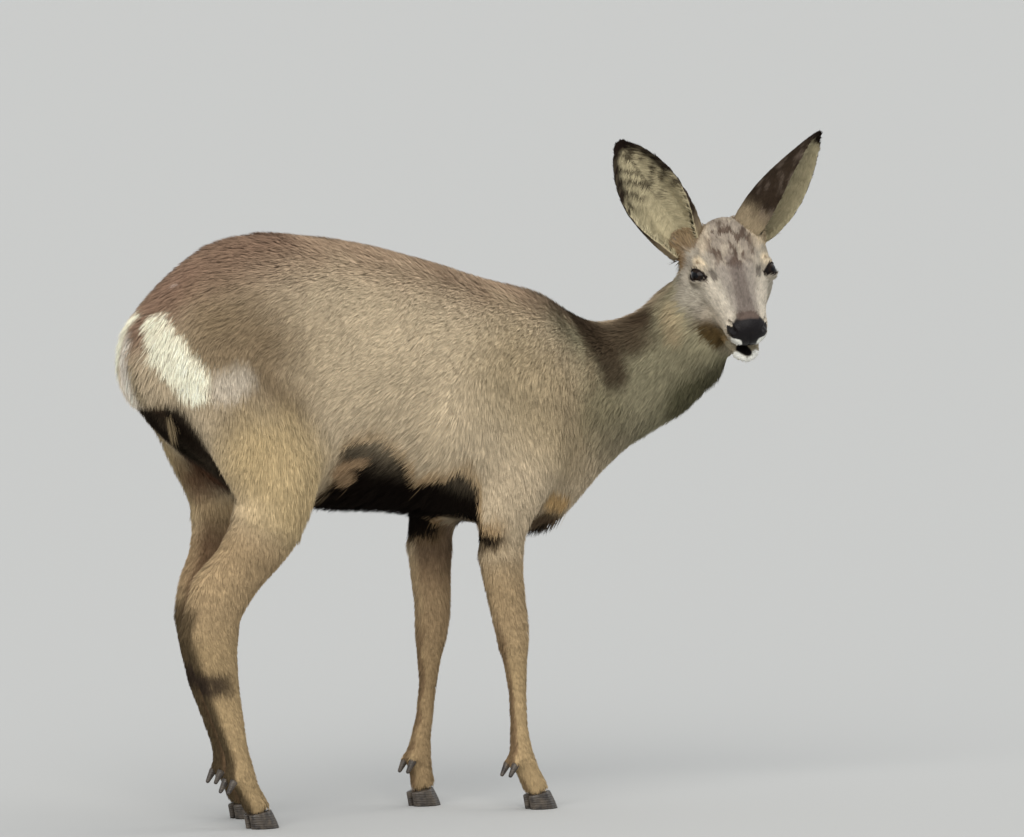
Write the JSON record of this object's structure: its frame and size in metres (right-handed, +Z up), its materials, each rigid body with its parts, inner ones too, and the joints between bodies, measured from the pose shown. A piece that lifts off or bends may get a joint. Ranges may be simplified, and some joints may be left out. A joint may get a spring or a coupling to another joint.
{
  "type": "roe deer doe",
  "caption": "Life-size roe deer doe in grey-brown winter coat, standing still with the head turned back over the right shoulder.",
  "frame": {"origin": "middle of the bounding box at ground level, between the fore and hind feet", "axes": "+X from the rump toward the chest, +Y to the animal's left, +Z up from the ground"},
  "size_m": [0.9608, 0.32, 0.8361],
  "materials": {
    "coat": "dense winter coat of brittle banded hairs, warm grey-brown, matt",
    "neck": "winter coat, greyer and darker on the nape, matt",
    "face": "short close hair, pale grey flecked with brown, matt",
    "ear": "short hair, dark grey-brown outside, long cream hair inside",
    "rump_patch": "long white to cream hair round the tail",
    "leg": "short tan hair lying close to the leg",
    "nose": "bare black skin with fine pebbling, moist, satin",
    "eye": "dark brown iris and pupil under a wet clear surface",
    "horn": "black-brown horn with fine growth rings, satin"
  },
  "bodies": {
    "root": {"barrel": "coat", "chest": "coat", "ear_left": "ear", "ear_right": "ear", "eye_left": "eye", "eye_right": "eye", "fore_cannon_left": "leg", "fore_cannon_right": "leg", "fore_dewclaw_inner_left": "horn", "fore_dewclaw_inner_right": "horn", "fore_dewclaw_outer_left": "horn", "fore_dewclaw_outer_right": "horn", "fore_hoof_inner_left": "horn", "fore_hoof_inner_right": "horn", "fore_hoof_outer_left": "horn", "fore_hoof_outer_right": "horn", "fore_pastern_left": "leg", "fore_pastern_right": "leg", "forearm_left": "leg", "forearm_right": "leg", "gaskin_left": "leg", "gaskin_right": "leg", "head": "face", "hind_cannon_left": "leg", "hind_cannon_right": "leg", "hind_dewclaw_inner_left": "horn", "hind_dewclaw_inner_right": "horn", "hind_dewclaw_outer_left": "horn", "hind_dewclaw_outer_right": "horn", "hind_hoof_inner_left": "horn", "hind_hoof_inner_right": "horn", "hind_hoof_outer_left": "horn", "hind_hoof_outer_right": "horn", "hind_pastern_left": "leg", "hind_pastern_right": "leg", "lower_jaw": "face", "neck": "neck", "nose_pad": "nose", "rump": "coat", "rump_tuft": "rump_patch", "shoulder_left": "coat", "shoulder_right": "coat", "tail": "rump_patch", "thigh_left": "coat", "thigh_right": "coat"}
  },
  "joints": []
}
